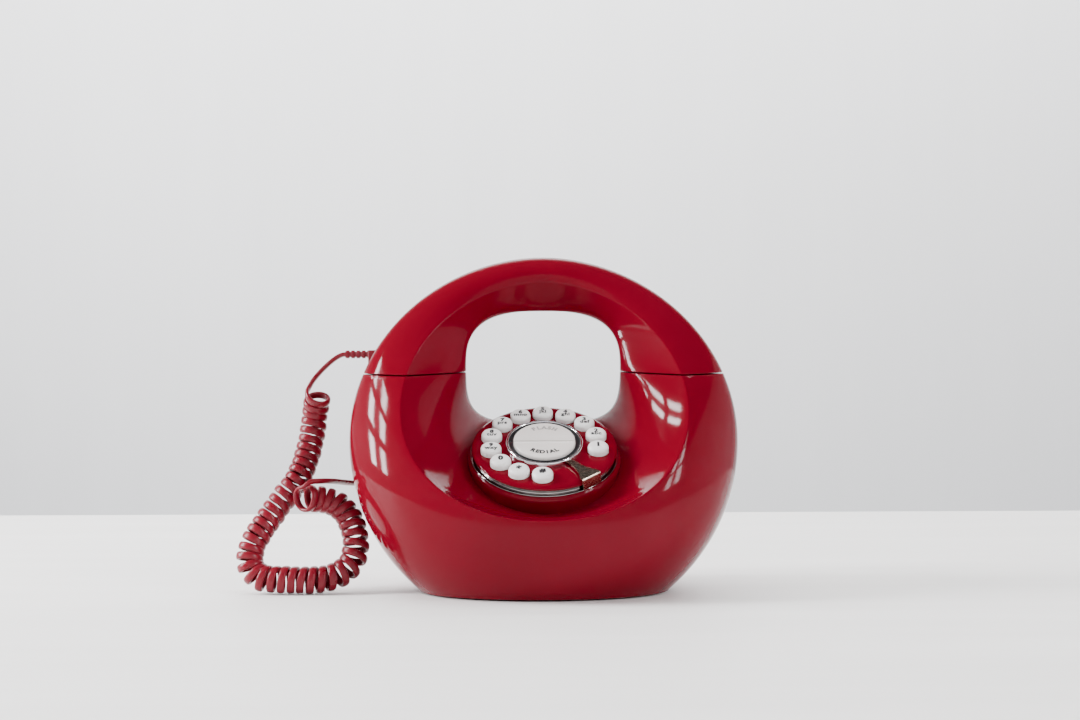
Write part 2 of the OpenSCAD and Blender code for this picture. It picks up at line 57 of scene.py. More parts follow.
# the dial's face, the seam between base and handset, and the split between front and rear shells
DIAL = Matrix.Translation((0, -0.019, 0.087)) @ turn_x(32.8)
SEAM_Z = 130.0
SEAM = Matrix.Translation((0, 0, SEAM_Z * MM)) @ turn_x(5.5)
SEAM_UP = np.array(SEAM.to_3x3() @ Vector((0, 0, 1)))
SPLIT_Y = 31.0
SPLIT_BACK = np.array(turn_x(-8.5).to_3x3() @ Vector((0, 1, 0)))


# ---- camera ----

CAMERA_RANGE, CAMERA_HEIGHT, CAMERA_LENS = 0.896, 0.111, 49.47
CAMERA_ANGLES = (1.0, 0.865, 1.73, 0.2)    # yaw round the phone, heading, pitch and roll, in degrees


def add_camera():
    yaw, heading, pitch, roll = (math.radians(a) for a in CAMERA_ANGLES)
    place = Vector((-CAMERA_RANGE * math.sin(yaw), -CAMERA_RANGE * math.cos(yaw), CAMERA_HEIGHT))
    ahead = Vector((math.sin(heading) * math.cos(pitch), math.cos(heading) * math.cos(pitch),
                    math.sin(pitch)))
    right = Vector((math.cos(heading), -math.sin(heading), 0))
    up = right.cross(ahead)
    right, up = (right * math.cos(roll) - up * math.sin(roll),
                 right * math.sin(roll) + up * math.cos(roll))
    data = bpy.data.cameras.new("camera")
    data.lens = CAMERA_LENS
    data.sensor_width = 36
    data.clip_start = 0.01
    data.dof.use_dof = False
    camera = bpy.data.objects.new("camera", data)
    bpy.context.collection.objects.link(camera)
    axes = Matrix((right, up, -ahead)).transposed().to_4x4()
    camera.matrix_world = Matrix.Translation(place) @ axes
    bpy.context.scene.camera = camera


add_camera()


# ---- mesh helpers ----

def linked(name, data):
    obj = bpy.data.objects.new(name, data)
    bpy.context.collection.objects.link(obj)
    return obj


def from_bmesh(name, bm):
    """An object made from the bmesh, which is freed."""
    mesh = bpy.data.meshes.new(name)
    bm.to_mesh(mesh)
    bm.free()
    return linked(name, mesh)


def as_object(name, vertices, faces, material, smooth=30, matrix=None):
    mesh = bpy.data.meshes.new(name)
    mesh.from_pydata([tuple(v) for v in vertices], [], faces)
    obj = linked(name, mesh)
    tidy_normals(obj)
    if matrix is not None:
        mesh.transform(matrix)
    finish_mesh(obj, material, smooth)
    return obj


def tidy_normals(obj):
    bm = bmesh.new()
    bm.from_mesh(obj.data)
    bmesh.ops.recalc_face_normals(bm, faces=bm.faces)
    bm.to_mesh(obj.data)
    bm.free()


def finish_mesh(obj, material, smooth=30):
    obj.data.shade_smooth()
    obj.data.set_sharp_from_angle(angle=math.radians(smooth))
    if material is not None:
        obj.data.materials.clear()
        obj.data.materials.append(material)


def baked(obj):
    """The object with its modifiers applied."""
    depsgraph = bpy.context.evaluated_depsgraph_get()
    mesh = bpy.data.meshes.new_from_object(obj.evaluated_get(depsgraph))
    old = obj.data
    obj.modifiers.clear()
    obj.data = mesh
    bpy.data.meshes.remove(old)
    return obj


def subtract(obj, cutters):
    """Takes the cutters, a bmesh of closed forms, out of the object."""
    cutter = from_bmesh("cutters", cutters)
    modifier = obj.modifiers.new("holes", "BOOLEAN")
    modifier.operation = "DIFFERENCE"
    modifier.solver = "EXACT"
    modifier.object = cutter
    baked(obj)
    bpy.data.objects.remove(cutter)


def unit(v):
    return v / np.linalg.norm(v, axis=-1, keepdims=True)


def lathe(name, profile, material, segments=160, matrix=DIAL, smooth=35):
    """A profile of (radius, height) in millimetres turned about the local Z axis."""
    angles = np.arange(segments) * 2 * math.pi / segments
    vertices, rows = [], []
    for r, z in profile:
        if r < 1e-6:
            rows.append([len(vertices)] * segments)
            vertices.append((0, 0, z * MM))
        else:
            rows.append(list(range(len(vertices), len(vertices) + segments)))
            vertices += [(r * MM * math.cos(a), r * MM * math.sin(a), z * MM) for a in angles]
    faces = []
    closed = profile[0][0] > 1e-6
    for i in range(len(rows) - (0 if closed else 1)):
        a, b = rows[i], rows[(i + 1) % len(rows)]
        for j in range(segments):
            k = (j + 1) % segments
            face = []
            for v in (a[j], a[k], b[k], b[j]):
                if v not in face:
                    face.append(v)
            if len(face) > 2:
                faces.append(face)
    return as_object(name, vertices, faces, material, smooth, matrix)


def arc(cx, cz, r, start, end, n=5):
    return [(cx + r * math.cos(math.radians(a)), cz + r * math.sin(math.radians(a)))
            for a in np.linspace(start, end, n)]


# ---- materials ----

def principled(name, color, roughness, metallic=0.0, ior=1.5, specular=0.5):
    material = bpy.data.materials.new(name)
    material.use_nodes = True
    shader = material.node_tree.nodes["Principled BSDF"]
    shader.inputs["Base Color"].default_value = (*color, 1)
    shader.inputs["Roughness"].default_value = roughness
    shader.inputs["Metallic"].default_value = metallic
    shader.inputs["IOR"].default_value = ior
    shader.inputs["Specular IOR Level"].default_value = specular
    return material, shader


def noise(material, scale, detail=4, roughness=0.5, stretch=(1, 1, 1)):
    tree = material.node_tree
    place = tree.nodes.new("ShaderNodeTexCoord")
    mapping = tree.nodes.new("ShaderNodeMapping")
    mapping.inputs["Scale"].default_value = stretch
    texture = tree.nodes.new("ShaderNodeTexNoise")
    texture.inputs["Scale"].default_value = scale
    texture.inputs["Detail"].default_value = detail
    texture.inputs["Roughness"].default_value = roughness
    tree.links.new(place.outputs["Object"], mapping.inputs["Vector"])
    tree.links.new(mapping.outputs["Vector"], texture.inputs["Vector"])
    return texture


def ramp_color(material, shader, texture, dark, light, low=0.3, high=0.7):
    tree = material.node_tree
    ramp = tree.nodes.new("ShaderNodeValToRGB")
    ramp.color_ramp.elements[0].position = low
    ramp.color_ramp.elements[0].color = (*dark, 1)
    ramp.color_ramp.elements[1].position = high
    ramp.color_ramp.elements[1].color = (*light, 1)
    tree.links.new(texture.outputs["Fac"], ramp.inputs["Fac"])
    tree.links.new(ramp.outputs["Color"], shader.inputs["Base Color"])


def ramp_value(material, shader, texture, socket, low, high, start=0.3, end=0.7):
    tree = material.node_tree
    spread = tree.nodes.new("ShaderNodeMapRange")
    spread.inputs["From Min"].default_value = start
    spread.inputs["From Max"].default_value = end
    spread.inputs["To Min"].default_value = low
    spread.inputs["To Max"].default_value = high
    tree.links.new(texture.outputs["Fac"], spread.inputs["Value"])
    tree.links.new(spread.outputs["Result"], shader.inputs[socket])


def bump(material, shader, textures, distance):
    """Bumps laid over one another: textures are pairs of a texture and its strength."""
    tree = material.node_tree
    last = None
    for texture, strength in textures:
        node = tree.nodes.new("ShaderNodeBump")
        node.inputs["Strength"].default_value = strength
        node.inputs["Distance"].default_value = distance
        tree.links.new(texture.outputs["Fac"], node.inputs["Height"])
        if last is not None:
            tree.links.new(last.outputs["Normal"], node.inputs["Normal"])
        last = node
    tree.links.new(last.outputs["Normal"], shader.inputs["Normal"])


GLOSS_SPREAD, GRAIN_SHARE = 0.25, 0.05


def plastic(name, dark, light, roughness, waviness=0.00002, wave_scale=22, fine_scale=900, ior=1.5,
            specular=0.5):
    """Moulded plastic: faint flow in its colour, uneven gloss, a slow surface wave and a fine grain."""
    material, shader = principled(name, light, roughness, ior=ior, specular=specular)
    ramp_color(material, shader, noise(material, 14, 5), dark, light)
    ramp_value(material, shader, noise(material, 60, 6, 0.65), "Roughness",
               roughness * (1 - GLOSS_SPREAD), roughness * (1 + GLOSS_SPREAD))
    wave, grain = noise(material, wave_scale, 1), noise(material, fine_scale, 3)
    bump(material, shader, [(wave, 1.0), (grain, GRAIN_SHARE)], waviness)
    return material


def metal(name, dark, light, roughness, stretch=(1, 1, 1), scale=120, grain=0.00001):
    """Metal with fine streaks in its colour, gloss and surface."""
    material, shader = principled(name, light, roughness, metallic=1.0)
    streaks = noise(material, scale, 6, 0.6, stretch)
    ramp_color(material, shader, streaks, dark, light)
    ramp_value(material, shader, streaks, "Roughness", roughness * 0.7, roughness * 1.4)
    bump(material, shader, [(streaks, 1.0)], grain)
    return material


RED = plastic("red_gloss", (0.128, 0.0012, 0.0078), (0.147, 0.0018, 0.0102), 0.08, ior=1.36,
              specular=0.18)
RED_CORD = plastic("red_cord", (0.130, 0.0025, 0.0095), (0.180, 0.0045, 0.0140), 0.30,
                   wave_scale=150, ior=1.4, specular=0.4)
WHITE = plastic("white_keys", (0.74, 0.72, 0.70), (0.80, 0.78, 0.76), 0.28)
CREAM = plastic("pearl_buttons", (0.66, 0.61, 0.58), (0.72, 0.67, 0.64), 0.22)
INK = plastic("label_ink", (0.006, 0.006, 0.007), (0.012, 0.012, 0.014), 0.55)
FAINT_INK = plastic("worn_label_ink", (0.26, 0.24, 0.23), (0.38, 0.35, 0.34), 0.40)
BLACK = plastic("black_plastic", (0.010, 0.010, 0.011), (0.018, 0.018, 0.020), 0.30)
DARK_RUBBER = plastic("rubber", (0.012, 0.012, 0.012), (0.030, 0.030, 0.030), 0.75, 0.00006,
                      fine_scale=500)
CLEAR = plastic("clear_plug", (0.55, 0.60, 0.62), (0.66, 0.70, 0.72), 0.10)
BOARD = plastic("circuit_board", (0.010, 0.090, 0.030), (0.020, 0.140, 0.050), 0.35,
                fine_scale=300)
SILICONE = plastic("membrane", (0.50, 0.50, 0.47), (0.60, 0.60, 0.57), 0.55)
WIRES = plastic("wires", (0.55, 0.42, 0.10), (0.66, 0.52, 0.16), 0.40)
CHROME = metal("chrome", (0.80, 0.80, 0.82), (0.88, 0.88, 0.90), 0.06, scale=260, grain=0.000004)
DARK_CHROME = metal("dark_chrome", (0.30, 0.27, 0.26), (0.42, 0.39, 0.38), 0.10, scale=160,
                    grain=0.000006)
NICKEL = metal("finger_stop_metal", (0.38, 0.30, 0.22), (0.56, 0.47, 0.37), 0.24, (1, 14, 14), 240)
STEEL = metal("steel", (0.42, 0.42, 0.43), (0.60, 0.60, 0.61), 0.32, scale=300)


# ---- curly cord ----

# millimetres: the coil's radius to the strand's middle, the strand's width and thickness, and the
# distance between turns
COIL_R = 6.9
STRAND_W = 4.6
STRAND_T = 2.5
PITCH = 5.6
CURVE_STEPS = 24       # to a stretch of a route
SAMPLE_STEP = 2.1      # between the strand's sections
LEAD = 1.6             # of the coil's own direction, kept where the straight ends join it
CLEARANCE = 0.05       # above the table
# the routes of the strand from the boot, of the coil's middle line, and of the tail to the base
UPPER = [(-121.6, 24, 142.6), (-124.7, 24, 142.2), (-130, 24, 139), (-136.8, 24, 132.8), (-141.9, 23, 126.6),
         (-144.6, 21, 121.4)]
COIL = [(-138.3, 17.5, 117.5), (-139.6, 21.5, 112), (-141, 24, 105), (-142, 23.5, 97), (-143.5, 21, 87),
        (-146, 17, 76), (-150.5, 12, 65), (-157.5, 8, 55), (-165, 3, 44), (-170.5, -2, 35), (-174.5, -6, 26),
        (-174.5, -10, 16.5), (-168, -13, 10), (-158, -15, 8.6), (-146, -15.5, 8.4), (-134, -15, 8.4),
        (-123, -12.5, 10.5), (-115, -9, 17), (-112.5, -6, 27), (-114, -3, 37), (-118.5, -1, 46),
        (-126, -0.5, 52.3), (-134.5, -2.5, 55), (-140.5, -6.5, 55.5), (-143.8, -10, 55.5)]
LOWER = [(-139, -10.5, 65.6), (-133.5, -7.5, 66), (-128, 0, 65.6), (-123, 12, 64.4), (-118.5, 21.5, 63.3),
         (-114.5, 26.8, 63), (-106, 28, 63)]


def through(points, n):
    """A smooth curve through the points, n steps to a stretch."""
    p = np.array(points, float)
    p = np.vstack([p[0], p, p[-1]])
    out = []
    for i in range(1, len(p) - 2):
        for s in np.arange(n) / n:
            out.append(0.5 * (2 * p[i] + (p[i + 1] - p[i - 1]) * s
                              + (2 * p[i - 1] - 5 * p[i] + 4 * p[i + 1] - p[i + 2]) * s ** 2
                              + (3 * p[i] - p[i - 1] - 3 * p[i + 1] + p[i + 2]) * s ** 3))
    out.append(p[-2])
    return np.array(out)


def lengths(path):
    return np.concatenate([[0], np.cumsum(np.linalg.norm(np.diff(path, axis=0), axis=1))])


def carried_frames(path):
    """Directions along the path and a side vector that doesn't twist about it."""
    along = unit(np.gradient(path, axis=0))
    side = np.zeros_like(path)
    start = np.cross(along[0], (0, 1, 0))
    side[0] = start / np.linalg.norm(start)
    for i in range(1, len(path)):
        v = side[i - 1] - along[i] * np.dot(side[i - 1], along[i])
        side[i] = v / np.linalg.norm(v)
    return along, side, np.cross(along, side)


def evenly(path, step):
    s = lengths(path)
    at = np.linspace(0, s[-1], int(s[-1] / step) + 1)
    return np.stack([np.interp(at, s, path[:, k]) for k in range(3)], axis=1)


def nearest_turn(angle, wanted):
    """The angle closest to this one that points the same way as the wanted angle."""
    return wanted + 2 * math.pi * round((angle - wanted) / (2 * math.pi))


def coil_turns():
    """The curled stretch: its points and the outward direction at each of them."""
    centre = evenly(through(COIL, CURVE_STEPS), 0.25)
    along, side, other = carried_frames(centre)
    s = lengths(centre)
    share = s / s[-1]
    # the turns lie looser at both ends and on the way round the bend
    pitch = PITCH + 1.2 * np.exp(-(share / 0.02) ** 2) + 0.9 * np.exp(-((share - 0.74) / 0.09) ** 2)
    pitch += 0.9 * np.exp(-((1 - share) / 0.02) ** 2) + 0.25 * np.sin(s * 0.11) + 0.15 * np.sin(s * 0.37 + 1)
    phase = np.cumsum(1 / pitch) * 2 * math.pi * (s[1] - s[0])
    # the first turn starts at the coil's left and the last one ends at its top
    first = math.atan2(other[0, 0], -side[0, 0])
    last = nearest_turn(first + phase[-1] - phase[0], math.atan2(-other[-1, 2], side[-1, 2]))
    phase = first + (phase - phase[0]) * (last - first) / (phase[-1] - phase[0])
    out = np.cos(phase)[:, None] * side - np.sin(phase)[:, None] * other
    radius = COIL_R * (1 + 0.022 * np.sin(phase * 0.37) + 0.014 * np.sin(phase * 0.81))
    return centre + radius[:, None] * out, out


def carry_outward(path, out):
    """Turns a direction along with the path, so that it never twists about it."""
    along = unit(np.gradient(path, axis=0))
    found = []
    for direction in along:
        out = out - direction * np.dot(direction, out)
        out = out / np.linalg.norm(out)
        found.append(out)
    return np.array(found)


def cord_path():
    """The whole strand from the strain relief to the plug, with its outward direction."""
    turns, out = coil_turns()
    start = unit(turns[1] - turns[0])
    end = unit(turns[-1] - turns[-2])
    upper = through(UPPER + [turns[0] - LEAD * start, turns[0] + LEAD * start],
                    CURVE_STEPS)[:-CURVE_STEPS]
    upper = evenly(np.vstack([upper, turns[:1]]), 0.5)[:-1]
    lower = through([turns[-1] - LEAD * end, turns[-1] + LEAD * end] + LOWER,
                    CURVE_STEPS)[CURVE_STEPS:]
    lower = evenly(np.vstack([turns[-1:], lower]), 0.5)[1:]
    path = np.vstack([upper, turns, lower])
    out = np.vstack([carry_outward(upper[::-1], out[0])[::-1], out, carry_outward(lower, out[-1])])
    s = lengths(path)
    at = np.linspace(0, s[-1], int(s[-1] / SAMPLE_STEP))
    path = np.stack([np.interp(at, s, path[:, k]) for k in range(3)], axis=1)
    out = unit(np.stack([np.interp(at, s, out[:, k]) for k in range(3)], axis=1))
    return path, out


def sweep(name, path, out, material, sides=14):
    """A flat strand along the path: out is the way that its wide side faces."""
    along = unit(np.gradient(path, axis=0))
    out = unit(out - along * np.sum(out * along, axis=1, keepdims=True))
    wide = np.cross(along, out)
    angles = np.arange(sides) * 2 * math.pi / sides
    c, d = np.cos(angles), np.sin(angles)
    x = STRAND_W / 2 * np.sign(c) * abs(c) ** 0.85
    y = STRAND_T / 2 * np.sign(d) * abs(d) ** 0.80
    rings = path[:, None, :] + x[None, :, None] * wide[:, None, :] + y[None, :, None] * out[:, None, :]
    rings[..., 2] = np.maximum(rings[..., 2], CLEARANCE)
    vertices = rings.reshape(-1, 3) * MM
    n = len(path)
    faces = [(i * sides + j, i * sides + (j + 1) % sides,
              (i + 1) * sides + (j + 1) % sides, (i + 1) * sides + j)
             for i in range(n - 1) for j in range(sides)]
    faces += [tuple(range(sides - 1, -1, -1)), tuple((n - 1) * sides + j for j in range(sides))]
    return as_object(name, vertices, faces, material, 60)


strand_path, strand_out = cord_path()
strand_path[:, 2] = np.maximum(strand_path[:, 2], STRAND_T / 2 + CLEARANCE)
strand = sweep("curly_cord", strand_path, strand_out, RED_CORD)
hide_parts("cord_upper", "cord_coil", "cord_lower")
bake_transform(strand)


# ---- shells ----

def outline(t, w, mid, up, down, n_up, n_down):
    """A rounded outline in the X-Z plane, at the angle t: w is half its width, mid its middle's
    height, up and down its reach from there, and n how square each half is."""
    c, s = np.cos(t), np.sin(t)
    high = s >= -1e-9
    h, n = np.where(high, up, down), np.where(high, n_up, n_down)
    r = ((abs(c) / w) ** n + (abs(s) / h) ** n) ** (-1 / n)
    return r * c, mid + r * s


def ring_lines(t):
    """The four lines that run round the ring: throat, crease, flank and spine."""
    x, z = outline(t, 47.2, 135.4, 34.4, 35.3, 2.8, 4)
    rise = (z - 135.4) / 35.3
    y = 13 + 21 * np.maximum(0, rise) ** 1.5 + 29 * np.maximum(0, -rise) ** 1.5
    throat = np.stack([x, y, z], axis=-1)
    x, z = outline(t, 84, 112, 75, 65, 1.9, 2.15)
    crease = np.stack([x, -72 + 0.66 * (z - 47), z], axis=-1)
    x, z = outline(t, 116.8, 91, 113, 116, 1.95, 2)
    rise = np.maximum(0, z - 91) / 113
    flank = np.stack([x, -1 + 0.06 * np.minimum(0, z - 91) + 40 * rise ** 2.2, z], axis=-1)
    spine = 0.5 * (throat + flank)
    spine[..., 1] = 72
    return throat, crease, flank, spine


def bezier(a, b, c, d, s):
    s = np.asarray(s, float)
    s = s[..., None] if s.ndim else s
    r = 1 - s
    return r ** 3 * a + 3 * r * r * s * b + 3 * r * s * s * c + s ** 3 * d


def ring_section(t, n_wall=30, n_band=26, n_rear=22, n_hole=20, edge=0.9):
    """One section of the ring: the scoop's wall, the lip, the band outside it, the rear and the
    hand hole. The counts are points along each, and edge is the lip's rounding in millimetres."""
    y = np.array([0, 1.0, 0])
    flat = np.array([1.0, 0, 1.0])
    tp, cp, fp, sp = ring_lines(t)
    sag = max(0, -math.sin(t)) ** 1.5 * np.array([0, -19, -35])
    wall_b = tp - y * 0.12 * (tp[1] - cp[1])
    wall_c = cp + 0.45 * (tp - cp) + sag
    band_b = cp + 0.5 * (fp - cp) * flat - 1.5 * y
    band_c = fp - y * 0.55 * (fp[1] - cp[1])
    rear_b = fp + y * 0.55 * (sp[1] - fp[1])
    rear_c = sp + 0.55 * (fp - sp) * flat
    hole_b = sp + 0.55 * (tp - sp) * flat
    hole_c = tp + y * 0.6 * (sp[1] - tp[1])
    wall_end = 1 - edge / (3 * np.linalg.norm(cp - wall_c))
    band_start = edge / (3 * np.linalg.norm(band_b - cp))
    a = bezier(tp, wall_b, wall_c, cp, np.float64(wall_end))
    b = bezier(cp, band_b, band_c, fp, np.float64(band_start))
    wall = bezier(tp, wall_b, wall_c, cp, np.linspace(0, wall_end, n_wall))
    s = np.linspace(0, 1, 6)[1:-1, None]
    lip = (1 - s) ** 2 * a + 2 * s * (1 - s) * cp + s ** 2 * b
    band = bezier(cp, band_b, band_c, fp,
                  band_start + (1 - band_start) * np.arange(n_band) / n_band)
    rear = bezier(fp, rear_b, rear_c, sp, np.arange(n_rear) / n_rear)
    hole = bezier(sp, hole_b, hole_c, tp, np.arange(n_hole) / n_hole)
    return np.concatenate([wall, lip, band, rear, hole])


def ring_mesh(steps=288):
    """The whole ring as one closed form, base and handset together."""
    rows = [ring_section(2 * math.pi * i / steps) for i in range(steps)]
    cols = len(rows[0])
    bm = bmesh.new()
    verts = [[bm.verts.new(p) for p in row] for row in rows]
    for i in range(steps):
        for j in range(cols):
            bm.faces.new((verts[i][j], verts[(i + 1) % steps][j],
                          verts[(i + 1) % steps][(j + 1) % cols], verts[i][(j + 1) % cols]))
    bmesh.ops.recalc_face_normals(bm, faces=bm.faces)
    return bm


def loops_of(edges):
    """Ordered chains of vertices along the edges, each with True where it closes on itself."""
    left = dict.fromkeys(sorted(edges, key=lambda e: e.index))
    chains = []

    def walk(vertex):
        found = []
        while True:
            edge = next((e for e in vertex.link_edges if e in left), None)
            if edge is None:
                return found
            del left[edge]
            vertex = edge.other_vert(vertex)
            found.append(vertex)

    while left:
        edge = next(iter(left))
        del left[edge]
        chain = [edge.verts[0]] + [edge.verts[1]] + walk(edge.verts[1])
        closed = chain[-1] is chain[0]
        if closed:
            chain.pop()
        else:
            chain = walk(chain[0])[::-1] + chain
        chains.append((chain, closed))
    return chains


def rim(bm, edges, outward, steps):
    """Adds rows of faces inside each open edge and returns the last ones: steps are (inwards,
    outwards) in millimetres."""
    normal = unit(np.array(outward, float))
    u = unit(np.cross(normal, (0.3, 0.9, 0.2)))
    v = np.cross(normal, u)
    last_rows = []
    for loop, closed in loops_of(edges):
        p = np.array([vertex.co[:] for vertex in loop])
        q = np.stack([p @ u, p @ v], axis=1)
        nxt = np.roll(q, -1, axis=0)
        area = 0.5 * np.sum(q[:, 0] * nxt[:, 1] - nxt[:, 0] * q[:, 1])
        d = nxt - q
        normals = np.stack([-d[:, 1], d[:, 0]], axis=1) * math.copysign(1, area)
        normals = normals / np.maximum(np.linalg.norm(d, axis=1, keepdims=True), 1e-6)
        if not closed:
            normals[-1] = normals[-2]
        before = np.roll(normals, 1, axis=0)
        if not closed:
            before[0] = normals[0]
        inward = normals + before
        inward /= np.maximum(np.linalg.norm(inward, axis=1, keepdims=True), 1e-3)
        inward3 = inward[:, :1] * u + inward[:, 1:] * v
        row = loop
        for into, out in steps:
            new = [bm.verts.new(p[i] + inward3[i] * into + normal * out) for i in range(len(loop))]
            for i in range(len(loop) if closed else len(loop) - 1):
                k = (i + 1) % len(loop)
                bm.faces.new((row[i], row[k], new[k], new[i]))
            row = new
        last_rows.append(row)
    return last_rows


def edge_round(r, n=4):
    """The steps of a rounded edge, for rim."""
    return [(r * (1 - math.cos(a)), r * math.sin(a)) for a in np.linspace(0, math.pi / 2, n + 1)[1:]]


HOLE_SIDES = 48


def cap(bm, row, holes, depth):
    """A flat end with round holes: (x, y, radius) in the seam's plane, cut to a depth."""
    edges = [bm.edges.get((row[i], row[(i + 1) % len(row)])) for i in range(len(row))]
    height = sum((SEAM.inverted() @ (v.co * MM)).z for v in row) / len(row)
    for x, y, r in holes:
        ring = []
        for i in range(HOLE_SIDES):
            a = 2 * math.pi * i / HOLE_SIDES
            point = SEAM @ Vector(((x + r * math.cos(a)) * MM, (y + r * math.sin(a)) * MM, height))
            ring.append(bm.verts.new(point / MM))
        for i in range(HOLE_SIDES):
            edges.append(bm.edges.new((ring[i], ring[(i + 1) % HOLE_SIDES])))
        inner = [bm.verts.new(v.co + Vector(SEAM_UP) * depth) for v in ring]
        for i in range(HOLE_SIDES):
            k = (i + 1) % HOLE_SIDES
            bm.faces.new((ring[i], ring[k], inner[k], inner[i]))
    bmesh.ops.triangle_fill(bm, edges=edges, use_beauty=True, use_dissolve=False)


def cut(bm, point, normal, keep_below=True):
    """Cuts with a plane, keeps one side of it and returns the open edges."""
    result = bmesh.ops.bisect_plane(bm, geom=bm.verts[:] + bm.edges[:] + bm.faces[:], plane_co=point,
                                    plane_no=normal, clear_outer=keep_below, clear_inner=not keep_below)
    bm.edges.index_update()
    return [e for e in result["geom_cut"] if isinstance(e, bmesh.types.BMEdge)]


def shell_object(name, bm, node, body):
    bmesh.ops.recalc_face_normals(bm, faces=bm.faces)
    bmesh.ops.scale(bm, vec=(MM, MM, MM), verts=bm.verts)
    obj = from_bmesh(name, bm)
    finish_mesh(obj, RED, 28)
    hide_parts(node)
    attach(obj, body)
    return obj


def split_shell(bm, names, nodes, body):
    """Parts a form into its front and rear shells, with a fine line between them."""
    point = np.array([0, SPLIT_Y, 0])
    for side, name, node in ((1, names[0], nodes[0]), (-1, names[1], nodes[1])):
        half = bm.copy()
        gap = point - side * 0.12 * SPLIT_BACK
        edges = cut(half, gap, SPLIT_BACK, keep_below=side > 0)
        rim(half, edges, side * SPLIT_BACK, [(0.12, 0.05), (0.25, 0.10), (2.4, 0.10), (2.4, -2.0)])
        shell_object(name, half, node, body)
    bm.free()


# each screw's place in X and Z, and the depth in Y where its pocket ends
SCREW_POCKETS = ((103, 90, 50), (80, 152, 63))
SCREW_POCKET_R, SCREW_POCKET_LENGTH = 3.4, 40
# the corners of the line jack's window at the rear and of the handset jack's at the left
JACK_WINDOWS = (((-6.2, 52, 24.8), (6.2, 90, 35.2)), ((-130, 23.8, 59.3), (-92, 32.2, 66.7)))


def with_pockets(bm):
    """Sinks the screw pockets and the windows of the two jacks into the closed ring."""
    cutters = bmesh.new()
    for x, z, floor in SCREW_POCKETS:
        for side in (-1, 1):
            middle = Vector((side * x, floor + SCREW_POCKET_LENGTH / 2, z))
            bmesh.ops.create_cone(cutters, cap_ends=True, segments=HOLE_SIDES, radius1=SCREW_POCKET_R,
                                  radius2=SCREW_POCKET_R, depth=SCREW_POCKET_LENGTH,
                                  matrix=Matrix.Translation(middle) @ turn_x(90))
    for low, high in JACK_WINDOWS:
        size = np.subtract(high, low)
        place = Matrix.Translation(np.add(high, low) / 2) @ Matrix.Diagonal((*size, 1))
        bmesh.ops.create_cube(cutters, size=1, matrix=place)
    for form in (bm, cutters):
        bmesh.ops.recalc_face_normals(form, faces=form.faces)
    ring = from_bmesh("ring", bm)
    subtract(ring, cutters)
    bm = bmesh.new()
    bm.from_mesh(ring.data)
    bpy.data.objects.remove(ring)
    return bm


SEAM_GAP, SEAM_ROUND = 0.36, 0.4
FOOT_Z = 1.5
PLUNGER_HOLE = (88, 4, 3.1)


def build_shells():
    whole = with_pockets(ring_mesh())
    seam = np.array([0, 0, SEAM_Z])
    up = SEAM_UP * (SEAM_GAP + SEAM_ROUND)
    base = whole.copy()
    edges = cut(base, seam - up, SEAM_UP, keep_below=True)
    for row in rim(base, edges, SEAM_UP, edge_round(SEAM_ROUND)):
        right = sum(v.co.x for v in row) > 0
        cap(base, row, [PLUNGER_HOLE] if right else [], -3.5)
    edges = cut(base, (0, 0, FOOT_Z), (0, 0, -1), keep_below=True)
    rim(base, edges, (0, 0, -1), [(0.08, 0.30), (0.45, 0.5), (4.5, 0.5), (4.5, -2.5)])
    split_shell(base, ("base_front", "base_rear"), ("base_front_shell", "base_rear_shell"), "base")
    edges = cut(whole, seam + up, SEAM_UP, keep_below=False)
    for row in rim(whole, edges, -SEAM_UP, edge_round(SEAM_ROUND)):
        side = math.copysign(1, sum(v.co.x for v in row))
        cap(whole, row, [(82 * side, 30, 18.0)], 3.0)
    split_shell(whole, ("handset_front", "handset_rear"),
                ("handset_front_shell", "handset_rear_shell"), "handset")


build_shells()


# ---- dial ----

def solo(obj, node, body):
    """Puts the object in the place of one node."""
    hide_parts(node)
    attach(obj, body)
    return obj


housing = lathe("dial_plinth", [(38, -5.4), (41.2, -5.4)] + arc(42.1, -8.8, 3.4, 92, 0, 12)
                + [(45.5, -11), (45.5, -28), (42.4, -28), (42.4, -9), (38, -9)], RED)
solo(housing, "dial_housing", "base")

trim = lathe("dial_trim_ring", [(39.4, -2.25), (41.5, -2.25), (41.5, -4.3)]
             + arc(42.0, -4.3, 0.5, 180, 270, 4) + arc(43.75, -5.05, 0.42, 90, -60, 7)
             + [(39.4, -5.38)], DARK_CHROME)
solo(trim, "dial_trim", "base")

# the keys run round a circle from the first one's angle, in degrees
KEY_START, KEY_STEP, KEY_CIRCLE = -10, 25.2, 0.032
KEY_HOLE_R = 0.00635
LABELS = [("1", ""), ("2", "abc"), ("3", "def"), ("4", "ghi"), ("5", "jkl"), ("6", "mno"),
          ("7", "prs"), ("8", "tuv"), ("9", "wxy"), ("0", ""), ("*", ""), ("#", "")]
SIGN_NAMES = {"*": "star", "#": "hash"}


def key_place(i):
    a = math.radians(KEY_START + i * KEY_STEP)
    return DIAL @ Matrix.Translation((KEY_CIRCLE * math.cos(a), KEY_CIRCLE * math.sin(a), 0))


DISC_PROFILE = [(21.2, 0.0), (38.9, 0.0), (39.4, -0.02), (40.2, -0.12), (41.0, -0.28), (41.7, -0.5),
                (42.3, -0.8), (42.7, -1.15), (42.88, -1.5), (42.85, -1.85), (42.6, -2.1),
                (42.3, -2.2), (21.2, -2.2)]


def build_disc():
    disc = lathe("dial_face", DISC_PROFILE, RED)
    cutters = bmesh.new()
    for i in range(len(LABELS)):
        place = key_place(i) @ Matrix.Translation((0, 0, -0.001))
        bmesh.ops.create_cone(cutters, cap_ends=True, segments=64, radius1=KEY_HOLE_R,
                              radius2=KEY_HOLE_R, depth=0.006, matrix=place)
    subtract(disc, cutters)
    finish_mesh(disc, RED, 35)
    return disc


solo(build_disc(), "dial_disc", "base")


